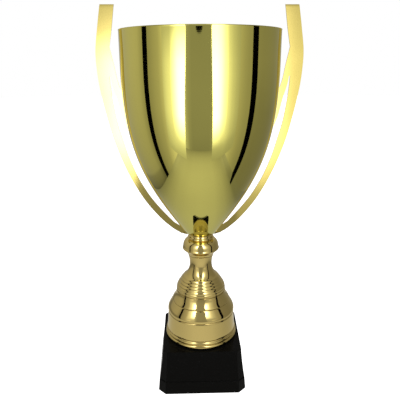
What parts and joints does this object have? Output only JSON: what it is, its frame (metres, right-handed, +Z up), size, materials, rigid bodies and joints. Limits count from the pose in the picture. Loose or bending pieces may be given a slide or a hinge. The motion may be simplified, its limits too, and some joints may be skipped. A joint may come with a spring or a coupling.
{
  "type": "cup trophy",
  "caption": "Gold cup trophy: a deep open bowl with flat Y-shaped handles on a stacked round riser and a black square base with cut corners.",
  "frame": {"origin": "middle of the standing plane under the felt pads", "axes": "+Z up along the rod, the handles along X, the front of the base at -Y"},
  "size_m": [0.26, 0.2004, 0.515],
  "materials": {
    "bowl_gold": "mirror-polished gold plating on spun metal",
    "handle_gold": "polished gold plating on flat sheet",
    "riser_gold": "mirror-bright metallised gold plastic",
    "base_black": "glossy black moulding",
    "cover_black": "plain matt black",
    "zinc_steel": "zinc-plated fixings",
    "cast_iron": "raw casting",
    "felt": "pressed felt"
  },
  "bodies": {
    "root": {"base_clamp_washer": "zinc_steel", "base_cover": "cover_black", "base_nut": "zinc_steel", "base_shell": "base_black", "base_weight": "cast_iron", "bowl_cap_nut": "zinc_steel", "bowl_seat_plate": "zinc_steel", "bowl_washer": "zinc_steel", "cover_screw_1": "zinc_steel", "cover_screw_2": "zinc_steel", "cover_screw_3": "zinc_steel", "cover_screw_4": "zinc_steel", "cup_bowl": "bowl_gold", "felt_pad_1": "felt", "felt_pad_2": "felt", "felt_pad_3": "felt", "felt_pad_4": "felt", "handle_left": "handle_gold", "handle_right": "handle_gold", "handle_rivet_left_lower": "zinc_steel", "handle_rivet_left_upper": "zinc_steel", "handle_rivet_right_lower": "zinc_steel", "handle_rivet_right_upper": "zinc_steel", "riser_barrel": "riser_gold", "riser_collar": "riser_gold", "riser_foot_ring": "riser_gold", "riser_neck": "riser_gold", "riser_skirt": "riser_gold", "riser_tier": "riser_gold", "threaded_rod": "zinc_steel"}
  },
  "joints": []
}
